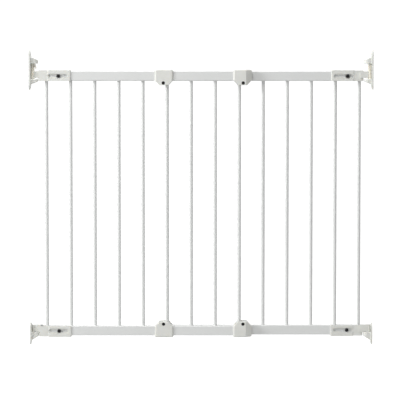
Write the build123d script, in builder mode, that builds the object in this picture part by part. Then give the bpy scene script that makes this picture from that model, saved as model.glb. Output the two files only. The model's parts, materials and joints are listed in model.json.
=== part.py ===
from build123d import *

# Extending safety gate for a doorway.
#
# Two barred panels telescope past each other, four arms carry them to the walls, and the gate
# hinges on a pin at the right-hand wall and latches at the left-hand one.
#
# Frame: millimetres, +X to the right, -Y towards the room in front, +Z up. The origin is on the
# floor, midway between the walls. Pieces are drawn at the right-hand wall and at the top rail,
# then mirrored to where they belong.

import os
from dataclasses import dataclass
from math import ceil

os.makedirs("parts", exist_ok=True)

# Overall sizes
doorway_width = 936.0  # wall face to wall face, as the gate stands
frame_height = 720.0  # underside of the bottom rails to the top of the top rails
floor_gap = 26.0  # under the bottom rails, and the wall plates reach down through it

# Bars
bar_diameter = 9.0
bar_wall = 1.0
bar_pitch = 65.5
bar_in_rail = 4.0  # how far a bar reaches inside the rail's wall
least_overlap = 180.0  # the least that the two rows of bars run past each other
weld_throat = 0.5
weld_height = 2.0

# Rails
rail_height = 26.0
rail_depth = 18.0
rail_wall = 1.5
rail_corner = 2.0
rail_gap = 2.0  # between the front panel and the rear one
rail_tail = 0.5  # outer bar's outside to the rail's outer end
rail_lead = 17.0  # inner bar's axis to the rail's inner end
plug_flange = 1.5
plug_length = 8.0

# Arms, measured from the pin's axis towards the middle of the gate
pin_inset = 10.0  # wall face to the pin's axis
hinge_reach = 26.5  # to the outer bar on the hinge side, as adjusted
latch_reach = 38.0  # to the outer bar on the latch side, as adjusted
arm_length = 104.0
saddle_start = 41.0
arm_end_wall = 3.0
arm_end_gap = 2.2  # between the hinge side's rail end and the arm's end wall
neck_wall = 2.2
saddle_wall = 3.2
saddle_corner = 3.0
arm_round = 1.5
tongue_half = 5.0
tongue_start = 3.0
slot_first = 45.0
slot_last = 94.0
slot_height = 6.6
slot_recess = 1.6
slot_recess_height = 12.4

# Slot screws, washers and rivet nuts
slot_screw_shank = 6.0
slot_screw_head = 9.6
slot_screw_length = 11.0  # behind the rail's front face
slot_crown = 0.7  # the flat top's share of the head's width
slot_cross_reach = 3.2
slot_cross_half = 0.7
slot_cross_depth = 1.1
washer_diameter = 12.0
washer_thickness = 0.7
nut_diameter = 8.0
nut_bulge = 10.5
nut_bulge_length = 2.5
nut_length = 13.0

# Slide brackets, u measured from the own panel's inner bar away from its panel
bracket_wall = 4.5  # beyond the rails, above and at both sides
bracket_back = 17.0
bracket_front = 34.0
bracket_chamfer = 4.0
bracket_top_chamfer = 2.5
bracket_slant = 16.0
bump_height = 11.5
bump_back = 14.0
bump_front = 32.0
bump_flat_back = 4.0
bump_flat_front = 21.0
bar_slot_clearance = 0.5  # beside a weld
bracket_round = 1.2

# Clamp screws and jaws in the slide brackets
clamp_u = 10.0
clamp_drop = 5.7  # below the rail
clamp_recess_radius = 4.6
clamp_recess_depth = 2.0
clamp_head_radius = 4.3
clamp_head_height = 1.6
clamp_shank_radius = 2.0
clamp_tip_radius = 0.5
clamp_cross_share = 0.6  # how far the cross reaches, of the head's radius
clamp_cross_half = 0.6
jaw_flange_half = 6.0
jaw_body_half = 4.2
jaw_height = 6.0
jaw_thickness = 3.3
jaw_flange_thickness = 1.2
jaw_pocket_height = 8.0

# Wall brackets
plate_depth = 32.0
plate_thickness = 4.5
plate_tip_thickness = 2.2
plate_taper = 14.0
plate_corner = 12.0
plate_above_top_rail = 58.0
plate_below_top_rail = 24.0
plate_above_bottom_rail = 8.0
plate_round = 1.0
ear_round = 1.5
ear_half = 11.0
ear_tip_inset = 3.5  # the rounded tip's centre, inwards of the pin
upper_ear_rise = 21.0  # above the top rail
upper_ear_height = 18.0
upper_ear_slope = 9.0
lower_ear_rise = 5.0  # top face above the top rail's underside
lower_ear_height = 14.0
lower_ear_slope = 8.0
foot_ear_rise = 8.0  # top face above the bottom rail's underside
foot_ear_height = 22.0
foot_ear_slope = 12.0
wall_hole_radius = 2.25
wall_hole_from_tip = 9.0
foot_hole_spacing = 22.0
foot_hole_from_top = 13.0

# Pins and barrels
pin_diameter = 6.0
barrel_diameter = 9.5
key_width = 4.0
key_depth = 3.5
key_height = 12.0
pin_seat = 9.0  # depth of the pin's blind seat in the lower ear
pin_top_cover = 3.5
pin_chamfer = 0.8
lead_chamfer = 1.0  # on the pegs and the latch bolt
peg_top_cover = 1.0  # the peg's top below the tongue's
peg_seat = 14.0
top_tongue_rise = 8.0  # above the top rail's underside
foot_tongue_rise = 2.0  # above the bottom rail's top

# Latch
latch_travel = 6.0
bolt_shoulder_height = 9.5
bolt_top_gap = 4.5
collar_height = 2.0
collar_rise = 13.0  # above the bolt's shoulder: the spring's room
spring_wire = 0.7
spring_clearance = 0.4  # between the spring and the barrel's bore
tail_clearance = 0.25  # between the spring and the bolt's tail
spring_turns = 6.0
trigger_hub_height = 4.0
trigger_stem_half = 1.4
trigger_half = 5.0
trigger_thickness = 2.4
trigger_height = 13.0
trigger_bow = 5.0  # radius of the blade's curve, in blade heights

# Clearances
running_clearance = 0.05  # radial, for what turns or slides on a pin
press_clearance = 0.02  # radial, for what is pressed in and stays
slide_clearance = 0.3  # round a rail that slides
ear_clearance = 0.4  # between the ears and what turns between them
bar_clearance = 0.05  # radial, round a bar in the rail's hole
face_clearance = 0.1  # between flat faces that slide past each other
screw_axis_clearance = 0.15  # between a clamp screw's point and its jaw
cut_margin = 1.0  # how far a channel's cut runs past the housing

# Heights that follow
mid_height = floor_gap + frame_height / 2
bottom_rail_low = floor_gap
bottom_rail_high = floor_gap + rail_height
top_rail_high = floor_gap + frame_height
top_rail_low = top_rail_high - rail_height
top_rail_middle = top_rail_high - rail_height / 2
upper_ear_low = top_rail_high + upper_ear_rise
lower_ear_high = top_rail_low + lower_ear_rise
foot_ear_high = bottom_rail_low + foot_ear_rise
barrel_low = lower_ear_high + ear_clearance
barrel_high = upper_ear_low - ear_clearance
top_tongue_low = top_rail_low + top_tongue_rise
foot_tongue_low = foot_ear_high + ear_clearance
foot_tongue_high = bottom_rail_high + foot_tongue_rise
bolt_low = barrel_low + face_clearance
bolt_shoulder = bolt_low + bolt_shoulder_height
collar_low = bolt_shoulder + collar_rise
bolt_high = barrel_high - bolt_top_gap
trigger_hub_low = bolt_high - trigger_hub_height

# Places across the doorway that follow
wall_x = doorway_width / 2
plate_x = wall_x - plate_thickness
pin_x = wall_x - pin_inset
bars_span = 2 * pin_x - hinge_reach - latch_reach
bars_per_panel = ceil((bars_span + least_overlap) / (2 * bar_pitch)) + 1
panel_length = (bars_per_panel - 1) * bar_pitch
rail_offset = (rail_depth + rail_gap) / 2
bracket_half_depth = rail_gap / 2 + rail_depth + bracket_wall
rail_tail_length = bar_diameter / 2 + rail_tail  # outer bar's axis to the rail's outer end
arm_end_wall_at = hinge_reach - rail_tail_length - arm_end_gap

# Radii that follow
pin_radius = pin_diameter / 2
pin_hole_radius = pin_radius + running_clearance
barrel_radius = barrel_diameter / 2
weld_radius = bar_diameter / 2 + weld_throat
bar_slot_half = weld_radius + bar_slot_clearance
ear_root = pin_inset + ear_tip_inset - plate_thickness / 2  # rounded tip's centre to inside the plate
eye_radius = pin_inset - plate_thickness - ear_clearance
spring_radius = pin_hole_radius - spring_clearance - spring_wire / 2
bolt_tail_radius = spring_radius - spring_wire / 2 - tail_clearance

# The plane that a bottom piece is the mirror image of a top piece in
mid_plane = Plane.XY.offset(mid_height)


@dataclass(frozen=True)
class Panel:
    """One barred panel, seen from the wall that it is carried at."""

    name: str
    side: int  # 1 at the right-hand wall, -1 at the left-hand one
    own: int  # 1 where its rails run behind the other panel's, -1 in front
    reach: float  # pin's axis to its outer bar

    @property
    def rail_y(self) -> float:
        """Middle of its rails, front to back."""
        return self.own * rail_offset

    @property
    def front_y(self) -> float:
        """Front face of its rails."""
        return self.rail_y - rail_depth / 2

    @property
    def inner_bar_x(self) -> float:
        """Its inner bar, drawn at the right-hand wall."""
        return pin_x - self.reach - panel_length

    @property
    def slot_screw_x(self) -> float:
        """Its slot screws, half a pitch inwards of the outer bar."""
        return pin_x - self.reach - bar_pitch / 2


right_panel = Panel("right", side=1, own=1, reach=hinge_reach)
left_panel = Panel("left", side=-1, own=-1, reach=latch_reach)
panels = (right_panel, left_panel)


def save(piece: BuildPart, name: str) -> None:
    """Label a finished piece and write it to its own STEP file."""
    piece.part.label = name
    export_step(piece.part, f"parts/{name}.step")


def block(x_ends, y_ends, z_ends, mode=Mode.ADD) -> None:
    """Add or cut a box that spans three pairs of coordinates, given in either order."""
    spans = (x_ends, y_ends, z_ends)
    middle = [(start + end) / 2 for start, end in spans]
    size = [abs(end - start) for start, end in spans]
    with Locations(tuple(middle)):
        Box(*size, mode=mode)


def rod(x, y, z_low, z_high, radius, mode=Mode.ADD) -> None:
    """Add or cut an upright cylinder between two heights."""
    with Locations((x, y, (z_low + z_high) / 2)):
        Cylinder(radius, z_high - z_low, mode=mode)


def to_side(side: int) -> None:
    """Turn the piece being made into its mirror image if it stands at the left-hand wall."""
    if side < 0:
        mirror(about=Plane.YZ, mode=Mode.REPLACE)


def to_level(level: int) -> None:
    """Turn the piece being made into its mirror image if it belongs to the bottom rail."""
    if level < 0:
        mirror(about=mid_plane, mode=Mode.REPLACE)


def level_name(level: int) -> str:
    """Word for the top (1) or bottom (-1) of the gate."""
    return "top" if level > 0 else "bottom"


# Bars: steel tubes with a small weld bead where they meet each rail


def make_bar(panel: Panel, number: int) -> None:
    """Make one bar, numbered from the panel's outer end."""
    bar_radius = bar_diameter / 2
    bore_radius = bar_radius - bar_wall
    low = bottom_rail_high - rail_wall - bar_in_rail
    high = top_rail_low + rail_wall + bar_in_rail
    axis_x = pin_x - panel.reach - (number - 1) * bar_pitch
    with BuildPart() as bar:
        with BuildSketch(Plane.XZ) as profile:
            with BuildLine():
                Polyline(
                    (bore_radius, low),
                    (bar_radius, low),
                    (bar_radius, bottom_rail_high),
                    (weld_radius, bottom_rail_high),
                    (bar_radius, bottom_rail_high + weld_height),
                    (bar_radius, top_rail_low - weld_height),
                    (weld_radius, top_rail_low),
                    (bar_radius, top_rail_low),
                    (bar_radius, high),
                    (bore_radius, high),
                    close=True,
                )
            make_face()
        revolve(axis=Axis.Z)
    with BuildPart() as placed:
        add(bar.part.moved(Location((panel.side * axis_x, panel.rail_y, 0))))
    save(placed, f"{panel.name}_bar_{number}")


# Rails: rectangular tubes with a hole for each bar and one for the rivet nut


def make_rail(panel: Panel, level: int) -> None:
    """Make one of a panel's two rails."""
    inner_end = panel.inner_bar_x - rail_lead
    outer_end = pin_x - panel.reach + rail_tail_length
    with BuildPart() as rail:
        with BuildSketch(Plane.YZ.offset(inner_end)):
            with Locations((panel.rail_y, top_rail_middle)):
                RectangleRounded(rail_depth, rail_height, rail_corner)
                RectangleRounded(
                    rail_depth - 2 * rail_wall,
                    rail_height - 2 * rail_wall,
                    rail_corner - rail_wall,
                    mode=Mode.SUBTRACT,
                )
        extrude(amount=outer_end - inner_end)
        with BuildSketch(Plane.XY.offset(top_rail_low)):
            for number in range(bars_per_panel):
                with Locations((panel.inner_bar_x + number * bar_pitch, panel.rail_y)):
                    Circle(bar_diameter / 2 + bar_clearance)
        extrude(amount=rail_wall, mode=Mode.SUBTRACT)
        with BuildSketch(Plane.XZ.offset(-panel.front_y)):
            with Locations((panel.slot_screw_x, top_rail_middle)):
                Circle(nut_diameter / 2 + press_clearance)
        extrude(amount=-rail_wall, mode=Mode.SUBTRACT)
        to_side(panel.side)
        to_level(level)
    save(rail, f"{panel.name}_{level_name(level)}_rail")


def make_rail_plugs(panel: Panel) -> None:
    """Make the two moulded plugs that close a panel's inner rail ends."""
    bore_depth = rail_depth - 2 * rail_wall - 2 * face_clearance
    bore_height = rail_height - 2 * rail_wall - 2 * face_clearance
    with BuildPart() as plugs:
        with BuildSketch(Plane.YZ.offset(panel.inner_bar_x - rail_lead)) as flange:
            with Locations((panel.rail_y, top_rail_middle)):
                RectangleRounded(rail_depth, rail_height, rail_corner)
        extrude(flange.sketch, amount=-plug_flange)
        with BuildSketch(Plane.YZ.offset(panel.inner_bar_x - rail_lead)) as body:
            with Locations((panel.rail_y, top_rail_middle)):
                RectangleRounded(bore_depth, bore_height, rail_corner - rail_wall)
        extrude(body.sketch, amount=plug_length)
        mirror(about=mid_plane)
        to_side(panel.side)
    save(plugs, f"{panel.name}_rail_plugs")


# Slide brackets: housings that carry the other panel's rail past their own


def bracket_point(panel: Panel, u: float, v: float) -> tuple[float, float]:
    """Plan view point: u away from the inner bar, v towards the panel's own side."""
    return (panel.inner_bar_x - u, panel.own * v)


def make_slide_bracket(panel: Panel, level: int) -> None:
    """Make the housing at the inner end of one rail."""
    half = bracket_half_depth
    cut = bracket_chamfer
    rail_far = rail_gap / 2 + rail_depth
    top = top_rail_high + bracket_wall
    bump_low = top_rail_low - bump_height
    x0 = panel.inner_bar_x
    jaw_x = x0 - clamp_u
    own = panel.own
    through = (x0 + bracket_back + cut_margin, x0 - bracket_front - cut_margin)
    jaw_inner = bar_slot_half + rail_offset
    jaw_face = jaw_inner + jaw_thickness + 2 * face_clearance
    flange_face = jaw_face - jaw_flange_thickness - 2 * face_clearance
    with BuildPart() as bracket:
        with BuildSketch(Plane.XY.offset(bump_low)):
            with BuildLine():
                Polyline(
                    bracket_point(panel, -bracket_back, -half + cut),
                    bracket_point(panel, -bracket_back + cut, -half),
                    bracket_point(panel, bracket_front - cut, -half),
                    bracket_point(panel, bracket_front, -half + cut),
                    bracket_point(panel, bracket_front, half - bracket_slant),
                    bracket_point(panel, bracket_front - bracket_slant, half),
                    bracket_point(panel, -bracket_back + cut, half),
                    bracket_point(panel, -bracket_back, half - cut),
                    close=True,
                )
            make_face()
        extrude(amount=top - bump_low)
        with BuildSketch(Plane.XZ):
            with BuildLine():
                Polyline(
                    (x0 + bracket_back, top),
                    (x0 + bracket_back, top_rail_low),
                    (x0 + bump_back, top_rail_low),
                    (x0 + bump_flat_back, bump_low),
                    (x0 - bump_flat_front, bump_low),
                    (x0 - bump_front, top_rail_low),
                    (x0 - bracket_front, top_rail_low),
                    (x0 - bracket_front, top),
                    close=True,
                )
            make_face()
        extrude(amount=half, both=True, mode=Mode.INTERSECT)
        chamfer(bracket.faces().sort_by(Axis.Z)[-1].edges(), length=bracket_top_chamfer)
        fillet(bracket.edges(), radius=bracket_round)
        # Channel for the panel's own rail, closed behind its plug
        block(
            (x0 + bracket_back, x0 - rail_lead - plug_flange - face_clearance),
            (0, own * rail_far),
            (top_rail_low, top_rail_high),
            mode=Mode.SUBTRACT,
        )
        # Channel for the other panel's rail, open at both ends
        block(
            through,
            (0, -own * (rail_far + slide_clearance)),
            (top_rail_low - slide_clearance, top_rail_high + slide_clearance),
            mode=Mode.SUBTRACT,
        )
        # Slots for the bars: the other panel's pass right through
        block(
            through,
            (-own * (rail_offset - bar_slot_half), -own * jaw_inner),
            (bump_low, top_rail_low),
            mode=Mode.SUBTRACT,
        )
        block(
            (x0 + bracket_back, x0 - weld_radius - 2 * face_clearance),
            (own * (rail_offset - bar_slot_half), own * jaw_inner),
            (bump_low, top_rail_low),
            mode=Mode.SUBTRACT,
        )
        # A stepped pocket for each jaw, and a recess and hole for its screw
        for away in (-1, 1):
            block(
                (jaw_x - jaw_body_half - face_clearance, jaw_x + jaw_body_half + face_clearance),
                (away * jaw_inner, away * flange_face),
                (top_rail_low - jaw_pocket_height, top_rail_low),
                mode=Mode.SUBTRACT,
            )
            block(
                (jaw_x - jaw_flange_half - face_clearance, jaw_x + jaw_flange_half + face_clearance),
                (away * flange_face, away * jaw_face),
                (top_rail_low - jaw_pocket_height, top_rail_low),
                mode=Mode.SUBTRACT,
            )
            with BuildSketch(Plane.XZ.offset(-away * half)):
                with Locations((jaw_x, top_rail_low - clamp_drop)):
                    Circle(clamp_recess_radius)
            extrude(amount=away * clamp_recess_depth, mode=Mode.SUBTRACT)
            with BuildSketch(Plane.XZ.offset(-away * half)):
                with Locations((jaw_x, top_rail_low - clamp_drop)):
                    Circle(clamp_shank_radius + running_clearance)
            extrude(amount=away * (half - jaw_face), mode=Mode.SUBTRACT)
        to_side(panel.side)
        to_level(level)
    save(bracket, f"{panel.name}_{level_name(level)}_slide_bracket")


def make_clamp_jaws(panel: Panel) -> None:
    """Make the four wedge jaws that press on the rails from below and above."""
    inner = bar_slot_half + rail_offset + face_clearance
    face = inner + jaw_thickness
    high = top_rail_low - face_clearance
    low = high - jaw_height
    middle_x = panel.inner_bar_x - clamp_u
    wedge = top_rail_low - clamp_drop + clamp_shank_radius + screw_axis_clearance - low
    with BuildPart() as jaws:
        for away in (-1, 1):
            block(
                (middle_x - jaw_body_half, middle_x + jaw_body_half),
                (away * inner, away * face),
                (low, high),
            )
            block(
                (middle_x - jaw_flange_half, middle_x + jaw_flange_half),
                (away * (face - jaw_flange_thickness), away * face),
                (low, high),
            )
            # The slope that the screw's point drives along
            with BuildSketch(Plane.YZ.offset(middle_x)):
                with BuildLine():
                    Polyline(
                        (away * face, low),
                        (away * face, low + wedge),
                        (away * (face - wedge), low),
                        close=True,
                    )
                make_face()
            extrude(amount=jaw_flange_half, both=True, mode=Mode.SUBTRACT)
        mirror(about=mid_plane)
        to_side(panel.side)
    save(jaws, f"{panel.name}_clamp_jaws")


def make_clamp_screws(panel: Panel) -> None:
    """Make the four pointed screws that drive the jaws."""
    axis_x = panel.inner_bar_x - clamp_u
    axis_z = top_rail_low - clamp_drop
    seat = bracket_half_depth - clamp_recess_depth
    cone_start = bar_slot_half + rail_offset + face_clearance + jaw_thickness
    cone_end = cone_start - (clamp_shank_radius - clamp_tip_radius)
    cross_reach = clamp_head_radius * clamp_cross_share
    with BuildPart() as screws:
        for away in (-1, 1):
            with BuildSketch(Plane((axis_x, 0, axis_z), x_dir=(1, 0, 0), z_dir=(0, 0, 1))):
                with BuildLine():
                    Polyline(
                        (0, away * cone_end),
                        (clamp_tip_radius, away * cone_end),
                        (clamp_shank_radius, away * cone_start),
                        (clamp_shank_radius, away * seat),
                        (clamp_head_radius, away * seat),
                        (clamp_head_radius, away * (seat + clamp_head_height)),
                        (0, away * (seat + clamp_head_height)),
                        close=True,
                    )
                make_face()
            revolve(axis=Axis((axis_x, 0, axis_z), (0, 1, 0)))
            cross = (seat + clamp_head_height / 3, seat + clamp_head_height)
            for long, short in ((cross_reach, clamp_cross_half), (clamp_cross_half, cross_reach)):
                block(
                    (axis_x - long, axis_x + long),
                    (away * cross[0], away * cross[1]),
                    (axis_z - short, axis_z + short),
                    mode=Mode.SUBTRACT,
                )
        mirror(about=mid_plane)
        to_side(panel.side)
    save(screws, f"{panel.name}_clamp_screws")


# Arms: channels that slide on the rails, with a tongue to the pin


def make_arm(panel: Panel, level: int, tongue: tuple[float, float], end: str) -> None:
    """Make one arm, drawn over the top rail, with its tongue between two heights.

    The end is "barrel", "eye" or "hook".
    """
    front = panel.front_y - slide_clearance
    back = panel.front_y + rail_depth + slide_clearance
    middle_y = panel.rail_y
    channel_end = pin_x - arm_end_wall_at
    with BuildPart() as arm:
        with BuildSketch(Plane.XY.offset(top_rail_low)):
            with Locations((pin_x - (arm_length + saddle_start) / 2, middle_y)):
                RectangleRounded(
                    arm_length - saddle_start,
                    back - front + 2 * saddle_wall,
                    saddle_corner,
                )
        extrude(amount=rail_height + slide_clearance + saddle_wall)
        fillet(arm.faces().sort_by(Axis.Z)[-1].edges(), radius=arm_round)
        with BuildSketch(Plane.XY.offset(top_rail_low)):
            with Locations((pin_x - saddle_start - saddle_corner, middle_y)):
                Rectangle(
                    channel_end + arm_end_wall - pin_x + saddle_start + saddle_corner,
                    back - front + 2 * neck_wall,
                    align=(Align.MIN, Align.CENTER),
                )
        extrude(amount=rail_height + slide_clearance + neck_wall)
        neck_edges = arm.faces().filter_by(Axis.X).sort_by(Axis.X)[-1].edges()
        fillet(neck_edges.group_by(Axis.Z)[-1], radius=arm_round)
        block(
            (pin_x - arm_length, channel_end),
            (front, back),
            (top_rail_low, top_rail_high + slide_clearance),
            mode=Mode.SUBTRACT,
        )
        # Shoulder and tongue, in line with the pin
        shoulder_inner = panel.own * (rail_gap / 2 - slide_clearance)
        block(
            (channel_end - 2 * arm_end_wall, channel_end + arm_end_wall + neck_wall),
            (-panel.own * tongue_half, shoulder_inner),
            tongue,
        )
        block(
            (channel_end, pin_x - tongue_start),
            (-tongue_half, tongue_half),
            tongue,
        )
        if end == "barrel":
            rod(pin_x, 0, *tongue, barrel_radius + running_clearance, mode=Mode.SUBTRACT)
            block(
                (pin_x - barrel_radius - key_depth - face_clearance, pin_x),
                (-key_width / 2 - face_clearance, key_width / 2 + face_clearance),
                key_span(tongue, face_clearance),
                mode=Mode.SUBTRACT,
            )
        else:
            rod(pin_x, 0, *tongue, eye_radius)
            rod(pin_x, 0, *tongue, pin_hole_radius, mode=Mode.SUBTRACT)
        if end == "hook":
            mouth = pin_hole_radius + slide_clearance
            block((pin_x - mouth, pin_x + mouth), (0, eye_radius), tongue, mode=Mode.SUBTRACT)
        # Slot for the screw through the front wall, in a shallow recess
        slot_middle = (pin_x - (slot_first + slot_last) / 2, top_rail_middle)
        with BuildSketch(Plane.XZ.offset(-(front - saddle_wall))):
            with Locations(slot_middle):
                SlotOverall(
                    slot_last - slot_first + slot_recess_height - slot_height,
                    slot_recess_height,
                )
        extrude(amount=-slot_recess, mode=Mode.SUBTRACT)
        with BuildSketch(Plane.XZ.offset(-(front - saddle_wall))):
            with Locations(slot_middle):
                SlotOverall(slot_last - slot_first, slot_height)
        extrude(amount=-saddle_wall, mode=Mode.SUBTRACT)
        to_side(panel.side)
        to_level(level)
    save(arm, f"{panel.name}_{level_name(level)}_arm")


def key_span(tongue: tuple[float, float], clearance: float) -> tuple[float, float]:
    """Heights between which a barrel's key sits in its tongue."""
    middle = (tongue[0] + tongue[1]) / 2
    reach = key_height / 2 + clearance
    return (middle - reach, middle + reach)


def make_slot_screws(panel: Panel) -> None:
    """Make a panel's two slot screws, with their washers and rivet nuts."""
    x = panel.slot_screw_x
    z = top_rail_middle
    recess_floor = slide_clearance + saddle_wall - slot_recess
    washer_start = recess_floor + face_clearance
    head_start = washer_start + washer_thickness
    shank = slot_screw_shank / 2
    head = slot_screw_head / 2
    axis = Axis((x, panel.front_y, z), (0, 1, 0))
    # Local y is depth behind the rail's front face
    plane = Plane((x, panel.front_y, z), x_dir=(1, 0, 0), z_dir=(0, 0, 1))
    with BuildPart() as screws:
        with BuildSketch(plane):
            with BuildLine():
                Polyline(
                    (0, slot_screw_length),
                    (shank, slot_screw_length),
                    (shank, -head_start),
                    (head, -head_start),
                    (head, -(head_start + bracket_wall) / 2),
                    (head * slot_crown, -bracket_wall),
                    (0, -bracket_wall),
                    close=True,
                )
            make_face()
        revolve(axis=axis)
        for long, short in ((slot_cross_reach, slot_cross_half), (slot_cross_half, slot_cross_reach)):
            block(
                (x - long, x + long),
                (panel.front_y - bracket_wall, panel.front_y - bracket_wall + slot_cross_depth),
                (z - short, z + short),
                mode=Mode.SUBTRACT,
            )
        mirror(about=mid_plane)
        to_side(panel.side)
    save(screws, f"{panel.name}_slot_screws")
    with BuildPart() as washers:
        with BuildSketch(plane):
            with BuildLine():
                Polyline(
                    (shank + running_clearance, -washer_start),
                    (washer_diameter / 2, -washer_start),
                    (washer_diameter / 2, -head_start),
                    (shank + running_clearance, -head_start),
                    close=True,
                )
            make_face()
        revolve(axis=axis)
        mirror(about=mid_plane)
        to_side(panel.side)
    save(washers, f"{panel.name}_washers")
    with BuildPart() as nuts:
        with BuildSketch(plane):
            with BuildLine():
                Polyline(
                    (shank + running_clearance, 0),
                    (nut_diameter / 2, 0),
                    (nut_diameter / 2, rail_wall),
                    (nut_bulge / 2, rail_wall),
                    (nut_bulge / 2, rail_wall + nut_bulge_length),
                    (nut_diameter / 2, rail_wall + nut_bulge_length),
                    (nut_diameter / 2, nut_length),
                    (shank + running_clearance, nut_length),
                    close=True,
                )
            make_face()
        revolve(axis=axis)
        mirror(about=mid_plane)
        to_side(panel.side)
    save(nuts, f"{panel.name}_rivet_nuts")


# Wall brackets: a plate on the wall with ears for the pin


def make_top_wall_bracket(side: int) -> None:
    """Make a top wall bracket, with an ear above the arm and one below it."""
    low = top_rail_low - plate_below_top_rail
    high = top_rail_high + plate_above_top_rail
    with BuildPart() as bracket:
        with BuildSketch(Plane.XZ):
            with BuildLine():
                Polyline(
                    (wall_x, low),
                    (wall_x, high),
                    (wall_x - plate_tip_thickness, high),
                    (plate_x, high - plate_taper),
                    (plate_x, low + plate_taper),
                    (wall_x - plate_tip_thickness, low),
                    close=True,
                )
            make_face()
        extrude(amount=plate_depth / 2, both=True)
        with BuildSketch(Plane.YZ):
            with Locations((0, (low + high) / 2)):
                RectangleRounded(plate_depth, high - low, plate_corner)
        extrude(amount=wall_x, mode=Mode.INTERSECT)
        round_plate(bracket)
        for ear_low, ear_height in (
            (upper_ear_low, upper_ear_height),
            (lower_ear_high - lower_ear_height, lower_ear_height),
        ):
            with BuildSketch(Plane.XY.offset(ear_low)):
                with Locations((pin_x - ear_tip_inset, 0)):
                    Circle(ear_half)
                    Rectangle(ear_root, 2 * ear_half, align=(Align.MIN, Align.CENTER))
            extrude(amount=ear_height)
        # The upper ear slopes away on top, the lower one underneath
        ear_tip = pin_x - ear_tip_inset - ear_half
        upper_ear_high = upper_ear_low + upper_ear_height
        lower_ear_low = lower_ear_high - lower_ear_height
        with BuildSketch(Plane.XZ):
            with BuildLine():
                Polyline(
                    (plate_x, upper_ear_high),
                    (ear_tip, upper_ear_high),
                    (ear_tip, upper_ear_high - upper_ear_slope),
                    close=True,
                )
            make_face()
            with BuildLine():
                Polyline(
                    (plate_x, lower_ear_low),
                    (ear_tip, lower_ear_low),
                    (ear_tip, lower_ear_low + lower_ear_slope),
                    close=True,
                )
            make_face()
        extrude(amount=ear_half, both=True, mode=Mode.SUBTRACT)
        round_ears(bracket)
        # The hinge pin, or the latch bolt when it is down, stands in the lower ear's blind seat
        rod(pin_x, 0, lower_ear_high - pin_seat, lower_ear_high, pin_hole_radius, mode=Mode.SUBTRACT)
        rod(pin_x, 0, upper_ear_low, upper_ear_high, pin_hole_radius, mode=Mode.SUBTRACT)
        with BuildSketch(Plane.YZ.offset(plate_x)):
            with Locations((0, low + wall_hole_from_tip), (0, high - wall_hole_from_tip)):
                Circle(wall_hole_radius)
        extrude(amount=plate_thickness, mode=Mode.SUBTRACT)
        to_side(side)
    save(bracket, f"{wall_name(side)}_top_wall_bracket")


def make_bottom_wall_bracket(side: int) -> None:
    """Make a bottom wall bracket, with one ear under the arm."""
    high = bottom_rail_high + plate_above_bottom_rail
    ear_low = foot_ear_high - foot_ear_height
    ear_tip = pin_x - ear_tip_inset - ear_half
    with BuildPart() as bracket:
        with BuildSketch(Plane.XZ):
            with BuildLine():
                Polyline(
                    (wall_x, 0),
                    (wall_x, high),
                    (wall_x - plate_tip_thickness, high),
                    (plate_x, high - plate_taper),
                    (plate_x, plate_taper),
                    (wall_x - plate_tip_thickness, 0),
                    close=True,
                )
            make_face()
        extrude(amount=plate_depth / 2, both=True)
        with BuildSketch(Plane.YZ):
            with Locations((0, high / 2)):
                RectangleRounded(plate_depth, high, plate_corner)
        extrude(amount=wall_x, mode=Mode.INTERSECT)
        round_plate(bracket)
        with BuildSketch(Plane.XY.offset(ear_low)):
            with Locations((pin_x - ear_tip_inset, 0)):
                Circle(ear_half)
                Rectangle(ear_root, 2 * ear_half, align=(Align.MIN, Align.CENTER))
        extrude(amount=foot_ear_height)
        with BuildSketch(Plane.XZ):
            with BuildLine():
                Polyline(
                    (plate_x, ear_low),
                    (ear_tip, ear_low),
                    (ear_tip, ear_low + foot_ear_slope),
                    close=True,
                )
            make_face()
        extrude(amount=ear_half, both=True, mode=Mode.SUBTRACT)
        round_ears(bracket)
        seat_radius = pin_radius + press_clearance
        rod(pin_x, 0, foot_ear_high - peg_seat, foot_ear_high, seat_radius, mode=Mode.SUBTRACT)
        with BuildSketch(Plane.YZ.offset(plate_x)):
            with Locations((0, high - foot_hole_from_top)):
                with GridLocations(foot_hole_spacing, 0, 2, 1):
                    Circle(wall_hole_radius)
        extrude(amount=plate_thickness, mode=Mode.SUBTRACT)
        to_side(side)
    save(bracket, f"{wall_name(side)}_bottom_wall_bracket")


def round_plate(bracket: BuildPart) -> None:
    """Round a wall plate's edges on the room side, before its ears are added."""
    room_side = bracket.edges().filter_by(lambda edge: edge.bounding_box().max.X < wall_x - 0.5)
    fillet(room_side, radius=plate_round)


def round_ears(bracket: BuildPart) -> None:
    """Round the edges that run round a wall bracket's ears."""
    on_ears = bracket.edges().filter_by(lambda edge: edge.center().X < plate_x - 1)
    fillet(on_ears.filter_by(lambda edge: abs(edge.tangent_at(0.5).Z) < 0.9), radius=ear_round)


def wall_name(side: int) -> str:
    """Word for the wall bracket's job: the hinge is at the right, the latch at the left."""
    return "hinge" if side > 0 else "latch"


# Pins, pegs and barrels


def make_hinge_pin() -> None:
    """Make the steel pin that the gate swings on at the top."""
    high = upper_ear_low + upper_ear_height - pin_top_cover
    with BuildPart() as pin:
        rod(pin_x, 0, lower_ear_high - pin_seat, high, pin_radius)
        chamfer(pin.edges().group_by(Axis.Z)[-1], length=pin_chamfer)
    save(pin, "hinge_pin")


def make_bottom_peg(side: int) -> None:
    """Make the steel peg pressed into a bottom wall bracket."""
    with BuildPart() as peg:
        rod(pin_x, 0, foot_ear_high - peg_seat, foot_tongue_high - peg_top_cover, pin_radius)
        chamfer(peg.edges().group_by(Axis.Z)[-1], length=lead_chamfer)
        to_side(side)
    save(peg, f"{wall_name(side)}_bottom_peg")


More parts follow.
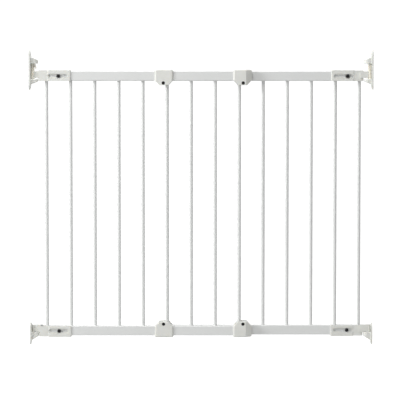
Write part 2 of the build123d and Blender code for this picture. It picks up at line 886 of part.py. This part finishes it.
def make_barrel(side: int) -> None:
    """Make the barrel that joins a top arm to its pin, or that the latch bolt runs in."""
    tongue = (top_tongue_low, top_rail_high)
    with BuildPart() as barrel:
        rod(pin_x, 0, barrel_low, barrel_high, barrel_radius)
        block(
            (pin_x - barrel_radius - key_depth, pin_x),
            (-key_width / 2, key_width / 2),
            key_span(tongue, 0),
        )
        rod(pin_x, 0, barrel_low, barrel_high, pin_hole_radius, mode=Mode.SUBTRACT)
        if side < 0:
            # A collar holds the spring's upper end, and a slot lets the trigger out
            with BuildSketch(Plane.XY.offset(collar_low)):
                with Locations((pin_x, 0)):
                    Circle(pin_hole_radius)
                    Circle(bolt_tail_radius + running_clearance, mode=Mode.SUBTRACT)
            extrude(amount=collar_height)
            block(
                (pin_x - barrel_radius, pin_x),
                (-trigger_stem_half - slide_clearance, trigger_stem_half + slide_clearance),
                (trigger_hub_low - latch_travel - slide_clearance, barrel_high),
                mode=Mode.SUBTRACT,
            )
        to_side(side)
    save(barrel, f"{wall_name(side)}_barrel")


# Latch: a sprung bolt that the trigger lifts out of the lower ear


def make_latch_bolt() -> None:
    """Make the bolt: a plunger below and a thin tail through the spring."""
    with BuildPart() as bolt:
        rod(pin_x, 0, bolt_low, bolt_shoulder, pin_radius)
        chamfer(bolt.edges().group_by(Axis.Z)[0], length=lead_chamfer)
        rod(pin_x, 0, bolt_shoulder, bolt_high, bolt_tail_radius)
        to_side(-1)
    save(bolt, "latch_bolt")


def make_latch_spring() -> None:
    """Make the spring between the bolt's shoulder and the barrel's collar."""
    low = bolt_shoulder + spring_wire / 2 + face_clearance
    height = collar_rise - spring_wire - 2 * face_clearance
    with BuildPart() as spring:
        with BuildLine() as coil:
            Helix(height / spring_turns, height, spring_radius, center=(-pin_x, 0, low))
        with BuildSketch(Plane(coil.line @ 0, z_dir=coil.line % 0)):
            Circle(spring_wire / 2)
        sweep(is_frenet=True)
    save(spring, "latch_spring")


def make_release_trigger() -> None:
    """Make the trigger: a hub on the bolt's tail, a stem and a curved finger blade."""
    hub_radius = pin_radius - running_clearance
    low = trigger_hub_low
    blade_high = bolt_high + trigger_hub_height - slide_clearance
    blade_low = blade_high - trigger_height
    blade_start = pin_x - barrel_radius - slide_clearance
    bow = trigger_thickness
    bow_radius = trigger_bow * trigger_height
    with BuildPart() as trigger:
        rod(pin_x, 0, low, low + trigger_hub_height, hub_radius)
        block(
            (blade_start - trigger_thickness, pin_x),
            (-trigger_stem_half, trigger_stem_half),
            (low, low + trigger_hub_height),
        )
        with BuildSketch(Plane.XZ):
            with BuildLine():
                RadiusArc((blade_start, blade_high), (blade_start - bow, blade_low), -bow_radius)
                Line((blade_start - bow, blade_low), (blade_start - bow - trigger_thickness, blade_low))
                RadiusArc(
                    (blade_start - bow - trigger_thickness, blade_low),
                    (blade_start - trigger_thickness, blade_high),
                    bow_radius,
                )
                Line((blade_start - trigger_thickness, blade_high), (blade_start, blade_high))
            make_face()
        extrude(amount=trigger_half, both=True)
        bore = bolt_tail_radius + press_clearance
        rod(pin_x, 0, low, low + trigger_hub_height, bore, mode=Mode.SUBTRACT)
        to_side(-1)
    save(trigger, "release_trigger")


def mirror_span(span: tuple[float, float]) -> tuple[float, float]:
    """A bottom piece's heights, drawn at the top rail."""
    return (2 * mid_height - span[1], 2 * mid_height - span[0])


def make_panel(panel: Panel) -> None:
    """Make every piece that belongs to one panel and its arms."""
    for number in range(1, bars_per_panel + 1):
        make_bar(panel, number)
    for level in (1, -1):
        make_rail(panel, level)
        make_slide_bracket(panel, level)
    make_rail_plugs(panel)
    make_clamp_jaws(panel)
    make_clamp_screws(panel)
    make_slot_screws(panel)
    foot_end = "eye" if panel is right_panel else "hook"
    make_arm(panel, 1, (top_tongue_low, top_rail_high), "barrel")
    make_arm(panel, -1, mirror_span((foot_tongue_low, foot_tongue_high)), foot_end)


for panel in panels:
    make_panel(panel)
for wall_side in (1, -1):
    make_top_wall_bracket(wall_side)
    make_bottom_wall_bracket(wall_side)
    make_bottom_peg(wall_side)
    make_barrel(wall_side)
make_hinge_pin()
make_latch_bolt()
make_latch_spring()
make_release_trigger()
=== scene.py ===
"""Finishes and fine meshes for an extending doorway safety gate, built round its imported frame."""

import json
import logging
from dataclasses import dataclass, field
from enum import Enum
from math import cos, pi, radians, sin, tau

import bmesh
import bpy
from mathutils import Matrix, Vector


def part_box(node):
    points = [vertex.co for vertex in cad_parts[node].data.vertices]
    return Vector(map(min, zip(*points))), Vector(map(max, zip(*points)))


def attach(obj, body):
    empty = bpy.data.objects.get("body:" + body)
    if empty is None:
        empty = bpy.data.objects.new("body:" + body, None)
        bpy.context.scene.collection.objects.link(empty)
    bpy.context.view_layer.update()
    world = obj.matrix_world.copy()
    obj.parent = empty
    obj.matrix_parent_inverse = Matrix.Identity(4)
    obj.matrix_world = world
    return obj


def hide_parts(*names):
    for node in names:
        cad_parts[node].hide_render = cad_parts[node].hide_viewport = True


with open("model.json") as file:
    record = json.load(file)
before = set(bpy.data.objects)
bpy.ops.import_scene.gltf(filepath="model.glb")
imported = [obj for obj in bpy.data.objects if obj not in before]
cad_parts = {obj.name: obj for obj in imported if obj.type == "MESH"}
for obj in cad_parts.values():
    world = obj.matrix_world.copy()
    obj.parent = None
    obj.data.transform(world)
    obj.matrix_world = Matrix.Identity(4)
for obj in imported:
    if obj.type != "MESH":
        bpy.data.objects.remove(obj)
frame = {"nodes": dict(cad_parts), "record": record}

MM = 0.001
SEAM = 1e-7  # points closer than this are one, in metres
FIRST, SECOND, MIXED = 6, 7, 2  # a Mix node's colour sockets, whose names its other types share
Colour = tuple[float, float, float]
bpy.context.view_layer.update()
log = logging.getLogger("gate")


class Finish(Enum):
    """The record's material slots that pieces of the gate are finished in."""

    STEEL = "white_steel"
    PLASTIC = "white_plastic"
    CREAM = "cream_plastic"
    SCREW = "black_screw"
    BARE = "bare_steel"


class Nodes:
    """A material's node tree, with short calls for the nodes that every finish uses."""

    def __init__(self, name: str) -> None:
        """Start a material that has only its shader and its output.

        Args:
            name: The material's name.
        """
        self.material = bpy.data.materials.new(name)
        self.material.use_nodes = True
        self.tree = self.material.node_tree
        self.shader = self.tree.nodes["Principled BSDF"]
        self.place = self.add("ShaderNodeTexCoord").outputs["Object"]

    def add(self, kind: str, **settings: object) -> bpy.types.Node:
        """Add one node.

        Args:
            kind: The node's Blender type.
            settings: Properties to set on it.

        Returns:
            The new node.
        """
        node = self.tree.nodes.new(kind)
        for key, value in settings.items():
            setattr(node, key, value)
        return node

    def link(self, start: bpy.types.NodeSocket, end: bpy.types.NodeSocket) -> None:
        """Join an output to an input.

        Args:
            start: The output.
            end: The input.
        """
        self.tree.links.new(start, end)

    def noise(
        self, size_mm: float, detail: float = 2.0, stretch: tuple[float, float, float] = (1, 1, 1)
    ) -> bpy.types.NodeSocket:
        """Add a noise pattern that is fixed to the object.

        Args:
            size_mm: Rough size of one blotch.
            detail: How many finer layers it has.
            stretch: How many times longer a blotch is along X, Y and Z.

        Returns:
            The noise's value, from 0 to 1.
        """
        mapping = self.add("ShaderNodeMapping")
        mapping.inputs["Scale"].default_value = [1 / part for part in stretch]
        noise = self.add("ShaderNodeTexNoise")
        noise.inputs["Scale"].default_value = 1 / (size_mm * MM)
        noise.inputs["Detail"].default_value = detail
        self.link(self.place, mapping.inputs["Vector"])
        self.link(mapping.outputs["Vector"], noise.inputs["Vector"])
        return noise.outputs["Fac"]

    def spread(
        self, value: bpy.types.NodeSocket, start: tuple[float, float], end: tuple[float, float]
    ) -> bpy.types.NodeSocket:
        """Carry a value from one range to another.

        Args:
            value: The value to carry over.
            start: The range that it comes in.
            end: The range that it leaves in.

        Returns:
            The new value.
        """
        span = self.add("ShaderNodeMapRange")
        span.inputs["From Min"].default_value = start[0]
        span.inputs["From Max"].default_value = start[1]
        span.inputs["To Min"].default_value = end[0]
        span.inputs["To Max"].default_value = end[1]
        self.link(value, span.inputs["Value"])
        return span.outputs["Result"]

    def blend(
        self, value: bpy.types.NodeSocket, first: Colour | bpy.types.NodeSocket, second: Colour
    ) -> bpy.types.NodeSocket:
        """Mix two colours by a value.

        Args:
            value: 0 for the first colour and 1 for the second.
            first: A colour, or the output of an earlier mix.
            second: A colour.

        Returns:
            The mixed colour.
        """
        mix = self.add("ShaderNodeMix", data_type="RGBA")
        self.link(value, mix.inputs["Factor"])
        if isinstance(first, tuple):
            mix.inputs[FIRST].default_value = (*first, 1)
        else:
            self.link(first, mix.inputs[FIRST])
        mix.inputs[SECOND].default_value = (*second, 1)
        return mix.outputs[MIXED]

    def bump(self, *layers: tuple[bpy.types.NodeSocket, float]) -> None:
        """Raise the surface by one pattern over another.

        Args:
            layers: Each a pattern and its height in millimetres.
        """
        before = None
        for value, height_mm in layers:
            bump = self.add("ShaderNodeBump")
            bump.inputs["Strength"].default_value = 1.0
            bump.inputs["Distance"].default_value = height_mm * MM
            self.link(value, bump.inputs["Height"])
            if before is not None:
                self.link(before, bump.inputs["Normal"])
            before = bump.outputs["Normal"]
        self.link(before, self.shader.inputs["Normal"])


@dataclass(frozen=True)
class PowderCoat:
    """White powder coat on steel: a soft orange peel, faint dust and a few rubbed places."""

    colour: Colour = (0.72, 0.73, 0.72)
    rubbed: Colour = (0.63, 0.64, 0.63)
    dusty: float = 0.965  # brightness of the dustier patches
    blotch_mm: float = 60
    rub_mm: float = 7
    gloss_mm: float = 9
    rough: tuple[float, float] = (0.30, 0.42)
    coat: float = 0.15
    coat_rough: float = 0.25
    peel_mm: float = 1.6
    peel_height_mm: float = 0.012
    fine_mm: float = 0.35
    fine_height_mm: float = 0.002

    def make(self) -> bpy.types.Material:
        """Make the material.

        Returns:
            The finished material.
        """
        nodes = Nodes("powder_coat")
        blotch = nodes.spread(nodes.noise(self.blotch_mm, 3), (0.35, 0.7), (0, 0.35))
        rub = nodes.spread(nodes.noise(self.rub_mm, 4, (1, 1, 3)), (0.66, 0.78), (0, 0.5))
        colour = nodes.blend(blotch, self.colour, tuple(part * self.dusty for part in self.colour))
        nodes.link(nodes.blend(rub, colour, self.rubbed), nodes.shader.inputs["Base Color"])
        gloss = nodes.spread(nodes.noise(self.gloss_mm, 3), (0.3, 0.7), self.rough)
        nodes.link(gloss, nodes.shader.inputs["Roughness"])
        nodes.shader.inputs["Coat Weight"].default_value = self.coat
        nodes.shader.inputs["Coat Roughness"].default_value = self.coat_rough
        nodes.bump(
            (nodes.noise(self.peel_mm, 1), self.peel_height_mm),
            (nodes.noise(self.fine_mm, 1), self.fine_height_mm),
        )
        return nodes.material


@dataclass(frozen=True)
class MouldedPlastic:
    """Off-white moulded nylon: fine spark-eroded grain, flow marks and dulled handling marks."""

    name: str = "moulded_plastic"
    colour: Colour = (0.73, 0.735, 0.70)
    shade: Colour = (0.66, 0.66, 0.615)
    rough: tuple[float, float] = (0.42, 0.58)
    flow_mm: float = 22
    speck_mm: float = 1.4
    handled_mm: float = 12
    scatter: float = 0.06
    scatter_radius: tuple[float, float, float] = (0.002, 0.0015, 0.001)
    wave_mm: float = 6
    grain_mm: float = 0.45
    grain_height_mm: float = 0.02
    coat: float = 0.0

    def make(self) -> bpy.types.Material:
        """Make the material.

        Returns:
            The finished material.
        """
        nodes = Nodes(self.name)
        flow = nodes.spread(nodes.noise(self.flow_mm, 3, (2.5, 1, 1)), (0.35, 0.7), (0, 0.45))
        specks = nodes.spread(nodes.noise(self.speck_mm, 2), (0.72, 0.8), (0, 0.35))
        colour = nodes.blend(flow, self.colour, self.shade)
        nodes.link(nodes.blend(specks, colour, self.shade), nodes.shader.inputs["Base Color"])
        gloss = nodes.spread(nodes.noise(self.handled_mm, 4), (0.3, 0.7), self.rough)
        nodes.link(gloss, nodes.shader.inputs["Roughness"])
        nodes.shader.inputs["Subsurface Weight"].default_value = self.scatter
        nodes.shader.inputs["Subsurface Radius"].default_value = self.scatter_radius
        nodes.shader.inputs["Coat Weight"].default_value = self.coat
        nodes.bump(
            (nodes.noise(self.grain_mm, 2), self.grain_height_mm),
            (nodes.noise(self.wave_mm, 2), self.grain_height_mm),
        )
        return nodes.material


@dataclass(frozen=True)
class PlatedSteel:
    """Bare or blackened steel: fine turning marks, and duller patches in the plating."""

    name: str
    colour: Colour
    dull: Colour
    rough: tuple[float, float]
    metal: float = 1.0
    patch_mm: float = 3
    wear_mm: float = 2
    turning_mm: float = 0.25
    turning_height_mm: float = 0.006
    dent_mm: float = 1.2
    dent_height_mm: float = 0.008

    def make(self) -> bpy.types.Material:
        """Make the material.

        Returns:
            The finished material.
        """
        nodes = Nodes(self.name)
        patch = nodes.spread(nodes.noise(self.patch_mm, 4), (0.4, 0.65), (0, 1))
        nodes.link(nodes.blend(patch, self.colour, self.dull), nodes.shader.inputs["Base Color"])
        gloss = nodes.spread(nodes.noise(self.wear_mm, 3), (0.3, 0.7), self.rough)
        nodes.link(gloss, nodes.shader.inputs["Roughness"])
        nodes.shader.inputs["Metallic"].default_value = self.metal
        nodes.bump(
            (nodes.noise(self.turning_mm, 2, (1, 1, 0.15)), self.turning_height_mm),
            (nodes.noise(self.dent_mm, 2), self.dent_height_mm),
        )
        return nodes.material


class Workshop:
    """Makes each finish once, and turns meshes into pieces that ride on the frame."""

    def __init__(self) -> None:
        """Make every finish."""
        self.slots = {row["node"]: Finish(row["material_slot"]) for row in frame["record"]["subparts"]}
        self.finishes = {
            Finish.STEEL: PowderCoat().make(),
            Finish.PLASTIC: MouldedPlastic().make(),
            Finish.CREAM: MouldedPlastic(
                name="cream_plastic",
                colour=(0.86, 0.83, 0.735),
                shade=(0.79, 0.75, 0.64),
                rough=(0.28, 0.40),
                grain_height_mm=0.006,
                coat=0.2,
            ).make(),
            Finish.SCREW: PlatedSteel(
                "black_oxide", (0.018, 0.018, 0.02), (0.045, 0.043, 0.04), (0.32, 0.5), metal=0.7
            ).make(),
            Finish.BARE: PlatedSteel(
                "zinc_plate", (0.62, 0.63, 0.64), (0.45, 0.45, 0.44), (0.22, 0.42)
            ).make(),
        }

    def body_of(self, node: str) -> str:
        """Look up the body that a CAD node rides on.

        Args:
            node: The CAD node.

        Returns:
            The body's name.
        """
        bodies = frame["record"]["behaviour"]["bodies"]
        return next(body for body, members in bodies.items() if node in members)

    def dress_frame(self) -> None:
        """Give every CAD node its finish."""
        for node, piece in frame["nodes"].items():
            finish = self.finishes[self.slots[node]]
            if not piece.data.materials:
                piece.data.materials.append(finish)
            for slot in piece.material_slots:
                slot.material = finish
        log.info("dressed %d frame nodes", len(frame["nodes"]))

    def piece(
        self, name: str, bm: bmesh.types.BMesh, node: str, smooth_deg: float = 40
    ) -> bpy.types.Object:
        """Turn a finished mesh into a piece that stands for a CAD node.

        Args:
            name: The piece's name.
            bm: Its mesh, in the frame's place. It is freed here.
            node: The CAD node that it replaces.
            smooth_deg: Edges that turn further than this stay sharp.

        Returns:
            The piece.
        """
        limit = radians(smooth_deg)
        for edge in bm.edges:
            edge.smooth = len(edge.link_faces) == 2 and edge.calc_face_angle(0) < limit
        for face in bm.faces:
            face.smooth = True
        mesh = bpy.data.meshes.new(name)
        bm.to_mesh(mesh)
        bm.free()
        made = bpy.data.objects.new(name, mesh)
        bpy.context.scene.collection.objects.link(made)
        finish = self.slots[node]
        mesh.materials.append(self.finishes[finish])
        weighted = made.modifiers.new("flat_faces", "WEIGHTED_NORMAL")
        weighted.keep_sharp = True
        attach(made, self.body_of(node))
        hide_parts(node)
        return made


def lathe(bm: bmesh.types.BMesh, outline: list[tuple[float, float]], where: Matrix, steps: int) -> None:
    """Add a turned solid to a mesh.

    Args:
        bm: The mesh to add to.
        outline: Radius and height points from one end's middle to the other's.
        where: Carries the lathe's own Z axis to its place.
        steps: Facets round the axis.
    """
    verts = [bm.verts.new((radius, 0, height)) for radius, height in outline]
    edges = [bm.edges.new(pair) for pair in zip(verts, verts[1:])]
    bmesh.ops.spin(
        bm,
        geom=verts + edges,
        cent=(0, 0, 0),
        axis=(0, 0, 1),
        angle=tau,
        steps=steps,
        use_merge=True,
    )
    fresh = [vert for vert in bm.verts if not vert.tag]
    bmesh.ops.remove_doubles(bm, verts=fresh, dist=SEAM)
    fresh = [vert for vert in bm.verts if not vert.tag]
    bmesh.ops.transform(bm, matrix=where, verts=fresh)
    for vert in fresh:
        vert.tag = True


@dataclass
class BarRow:
    """One panel's round bars, with a fillet weld where each meets a rail."""

    shop: Workshop
    side: str
    radius: float = 4.5 * MM
    weld_height: float = 2.0 * MM
    weld_throat: float = 0.5 * MM
    weld_steps: int = 6
    facets: int = 40

    def fillet(self, rail: float, away: int) -> list[tuple[float, float]]:
        """Return the weld's hollow outline.

        Args:
            rail: Height of the rail's face.
            away: 1 where the bar rises from the rail, -1 where it hangs from it.

        Returns:
            Radius and height points, from the rail outwards.
        """
        points = []
        for step in range(self.weld_steps + 1):
            turn = pi / 2 * step / self.weld_steps
            out = self.radius + self.weld_throat * (1 - sin(turn))
            points.append((out, rail + away * self.weld_height * (1 - cos(turn))))
        return points

    def build(self) -> None:
        """Make every bar of the panel."""
        names = sorted(name for name in frame["nodes"] if name.startswith(f"{self.side}_bar_"))
        low_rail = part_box(f"{self.side}_bottom_rail")[1].z
        high_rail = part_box(f"{self.side}_top_rail")[0].z
        for name in names:
            low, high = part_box(name)
            outline = [(0, low.z), (self.radius, low.z), (self.radius, low_rail)]
            outline += self.fillet(low_rail, 1)
            outline += reversed(self.fillet(high_rail, -1))
            outline += [(self.radius, high_rail), (self.radius, high.z), (0, high.z)]
            middle = (low + high) / 2
            bm = bmesh.new()
            lathe(bm, outline, Matrix.Translation((middle.x, middle.y, 0)), self.facets)
            bmesh.ops.recalc_face_normals(bm, faces=bm.faces)
            self.shop.piece(f"{name}_tube", bm, name)
        log.info("%s bars: %d", self.side, len(names))


@dataclass
class Springs:
    """The coil spring over the latch bolt's tail, of even pitch and with capped wire ends."""

    shop: Workshop
    wire: float = 0.35 * MM
    turns: int = 6
    steps: int = 28
    wire_facets: int = 12

    def build(self) -> None:
        """Make the spring from a wire ring that is carried round and up."""
        node = "latch_spring"
        low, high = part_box(node)
        middle = (low + high) / 2
        coil = (high.x - low.x) / 2 - self.wire
        rise = high.z - low.z - 2 * self.wire
        bm = bmesh.new()
        ring = bmesh.ops.create_circle(bm, segments=self.wire_facets, radius=self.wire)["verts"]
        place = Matrix.Translation((coil, 0, self.wire)) @ Matrix.Rotation(pi / 2, 4, "X")
        bmesh.ops.transform(bm, matrix=place, verts=ring)
        bmesh.ops.spin(
            bm,
            geom=bm.verts[:] + bm.edges[:],
            cent=(0, 0, 0),
            axis=(0, 0, 1),
            dvec=(0, 0, rise / (self.turns * self.steps)),
            angle=tau * self.turns,
            steps=self.turns * self.steps,
        )
        ends = [edge for edge in bm.edges if len(edge.link_faces) == 1]
        bmesh.ops.holes_fill(bm, edges=ends, sides=0)
        bmesh.ops.transform(bm, matrix=Matrix.Translation((middle.x, middle.y, low.z)), verts=bm.verts)
        bmesh.ops.recalc_face_normals(bm, faces=bm.faces)
        self.shop.piece("latch_spring_coil", bm, node)
        log.info("latch spring")


@dataclass
class SoftEdges:
    """Copies of CAD nodes whose last sharp edges are eased, as a mould or a tumbler leaves them."""

    shop: Workshop
    widths: dict[str, float] = field(default_factory=dict)
    turn_deg: float = 32.0
    shortest: float = 1.0 * MM
    flat_deg: float = 0.5
    merge: float = 1e-6
    segments: int = 2

    def build(self) -> None:
        """Make the eased copy of each listed node."""
        for node, width in self.widths.items():
            bm = bmesh.new()
            bm.from_mesh(frame["nodes"][node].data)
            bmesh.ops.remove_doubles(bm, verts=bm.verts, dist=self.merge)
            bmesh.ops.dissolve_limit(
                bm,
                angle_limit=radians(self.flat_deg),
                verts=bm.verts,
                edges=bm.edges,
                use_dissolve_boundaries=False,
            )
            sharp = [
                edge
                for edge in bm.edges
                if len(edge.link_faces) == 2
                and edge.calc_face_angle(0) > radians(self.turn_deg)
                and edge.calc_length() > self.shortest
            ]
            bmesh.ops.bevel(
                bm,
                geom=sharp,
                offset=width,
                offset_type="OFFSET",
                affect="EDGES",
                segments=self.segments,
                profile=0.5,
                material=-1,
                clamp_overlap=False,
            )
            self.shop.piece(f"{node}_moulded", bm, node)
        log.info("eased %d nodes", len(self.widths))


@dataclass(frozen=True)
class Lamp:
    """One square soft light, with its side in metres and its power in watts."""

    name: str
    place: tuple[float, float, float]
    size: float
    watts: float


@dataclass
class Studio:
    """White seamless floor and backdrop, a key light at the left with fill lights, and the camera."""

    radius: float = 13.0
    bend: float = 3.0
    height: float = 9.0
    bend_step: int = 6
    facets: int = 64
    paper_colour: Colour = (0.22, 0.22, 0.22)
    paper_rough: float = 0.9
    glow_y: tuple[float, float] = (-2.4, -1)  # where the paper's glow rises, front to back
    glow: tuple[float, float] = (0.10, 0.98)
    throw_z: tuple[float, float] = (0, 2)  # over which the thrown light rises to all of the glow
    floor_throw: float = 0.55
    sky: float = 0.22
    aim: tuple[float, float, float] = (0, 0, 0.4)
    lamps: tuple[Lamp, ...] = (
        Lamp("key", (-3.4, -1.5, 1.7), 1.0, 84),
        Lamp("top", (-0.4, -0.9, 3.0), 2.0, 62),
        Lamp("front", (-0.9, -4.2, 1.4), 2.0, 12),
    )
    lens: float = 165
    sensor: float = 36
    camera_place: tuple[float, float, float] = (-0.0031, -5.0, 0.650)
    camera_aim: tuple[float, float, float] = (-0.0031, 0, 0.3956)

    def sweep(self) -> None:
        """Make the floor, which curves up all round into the backdrop."""
        turns = range(0, 91, self.bend_step)
        profile = [(0.0, 0.0)]
        profile += [
            (self.radius - self.bend * (1 - sin(radians(turn))), self.bend * (1 - cos(radians(turn))))
            for turn in turns
        ]
        profile.append((self.radius, self.height))
        bm = bmesh.new()
        lathe(bm, profile, Matrix.Identity(4), steps=self.facets)
        bmesh.ops.recalc_face_normals(bm, faces=bm.faces)
        bmesh.ops.reverse_faces(bm, faces=[face for face in bm.faces if self.faces_away(face)])
        for face in bm.faces:
            face.smooth = True
        mesh = bpy.data.meshes.new("studio_floor")
        bm.to_mesh(mesh)
        bm.free()
        floor = bpy.data.objects.new("studio_floor", mesh)
        bpy.context.scene.collection.objects.link(floor)
        mesh.materials.append(self.paper())

    def faces_away(self, face: bmesh.types.BMFace) -> bool:
        """Tell whether a face of the sweep points away from the middle of the studio.

        Args:
            face: The face.

        Returns:
            True where it has to be turned round.
        """
        return face.normal.dot(Vector((0, 0, self.height)) - face.calc_center_median()) < 0

    def paper(self) -> bpy.types.Material:
        """Make the sweep's white paper, lit more behind the gate than in front of it.

        The floor looks as white as the backdrop, but throws less light on what stands near it.

        Returns:
            The finished material.
        """
        nodes = Nodes("studio_paper")
        nodes.shader.inputs["Base Color"].default_value = (*self.paper_colour, 1)
        nodes.shader.inputs["Roughness"].default_value = self.paper_rough
        nodes.shader.inputs["Specular IOR Level"].default_value = 0.0
        nodes.shader.inputs["Emission Color"].default_value = (1, 1, 1, 1)
        split = nodes.add("ShaderNodeSeparateXYZ")
        nodes.link(nodes.place, split.inputs["Vector"])
        glow = nodes.spread(split.outputs["Y"], self.glow_y, self.glow)
        thrown = nodes.add("ShaderNodeMath", operation="MAXIMUM")
        nodes.link(nodes.add("ShaderNodeLightPath").outputs["Is Camera Ray"], thrown.inputs[0])
        height = nodes.spread(split.outputs["Z"], self.throw_z, (self.floor_throw, 1.0))
        nodes.link(height, thrown.inputs[1])
        strength = nodes.add("ShaderNodeMath", operation="MULTIPLY")
        nodes.link(glow, strength.inputs[0])
        nodes.link(thrown.outputs["Value"], strength.inputs[1])
        nodes.link(strength.outputs["Value"], nodes.shader.inputs["Emission Strength"])
        return nodes.material

    def stand(self, name: str, data: bpy.types.ID, place: Vector, aim: Vector) -> bpy.types.Object:
        """Stand a light or a camera in its place, facing a point.

        Args:
            name: The object's name.
            data: The light or camera.
            place: Where it stands.
            aim: The point that it faces.

        Returns:
            The object.
        """
        holder = bpy.data.objects.new(name, data)
        bpy.context.scene.collection.objects.link(holder)
        holder.location = place
        holder.rotation_euler = (aim - place).to_track_quat("-Z", "Y").to_euler()
        return holder

    def light(self, lamp: Lamp) -> None:
        """Add a square soft light that faces the gate.

        Args:
            lamp: What it is and where it stands.
        """
        data = bpy.data.lights.new(lamp.name, "AREA")
        data.size = lamp.size
        data.energy = lamp.watts
        self.stand(lamp.name, data, Vector(lamp.place), Vector(self.aim))

    def camera(self) -> None:
        """Add the camera, in front of the gate and looking slightly down at it."""
        lens = bpy.data.cameras.new("camera")
        lens.lens = self.lens
        lens.sensor_width = self.sensor
        lens.clip_end = 100
        bpy.context.scene.camera = self.stand(
            "camera", lens, Vector(self.camera_place), Vector(self.camera_aim)
        )

    def build(self) -> None:
        """Make the whole studio."""
        self.sweep()
        for lamp in self.lamps:
            self.light(lamp)
        world = bpy.data.worlds.new("studio")
        world.use_nodes = True
        world.node_tree.nodes["Background"].inputs["Color"].default_value = (1, 1, 1, 1)
        world.node_tree.nodes["Background"].inputs["Strength"].default_value = self.sky
        bpy.context.scene.world = world
        bpy.context.scene.view_settings.view_transform = "Standard"
        self.camera()
        log.info("studio")


def main() -> None:
    """Build the studio and every piece in order."""
    logging.basicConfig(level=logging.INFO, format="%(message)s")
    Studio().build()
    shop = Workshop()
    shop.dress_frame()
    for side in ("left", "right"):
        BarRow(shop, side).build()
    Springs(shop).build()
    SoftEdges(
        shop,
        {
            "hinge_barrel": 0.25 * MM,
            "latch_barrel": 0.25 * MM,
            "release_trigger": 0.4 * MM,
        },
    ).build()


if __name__ == "__main__":
    main()
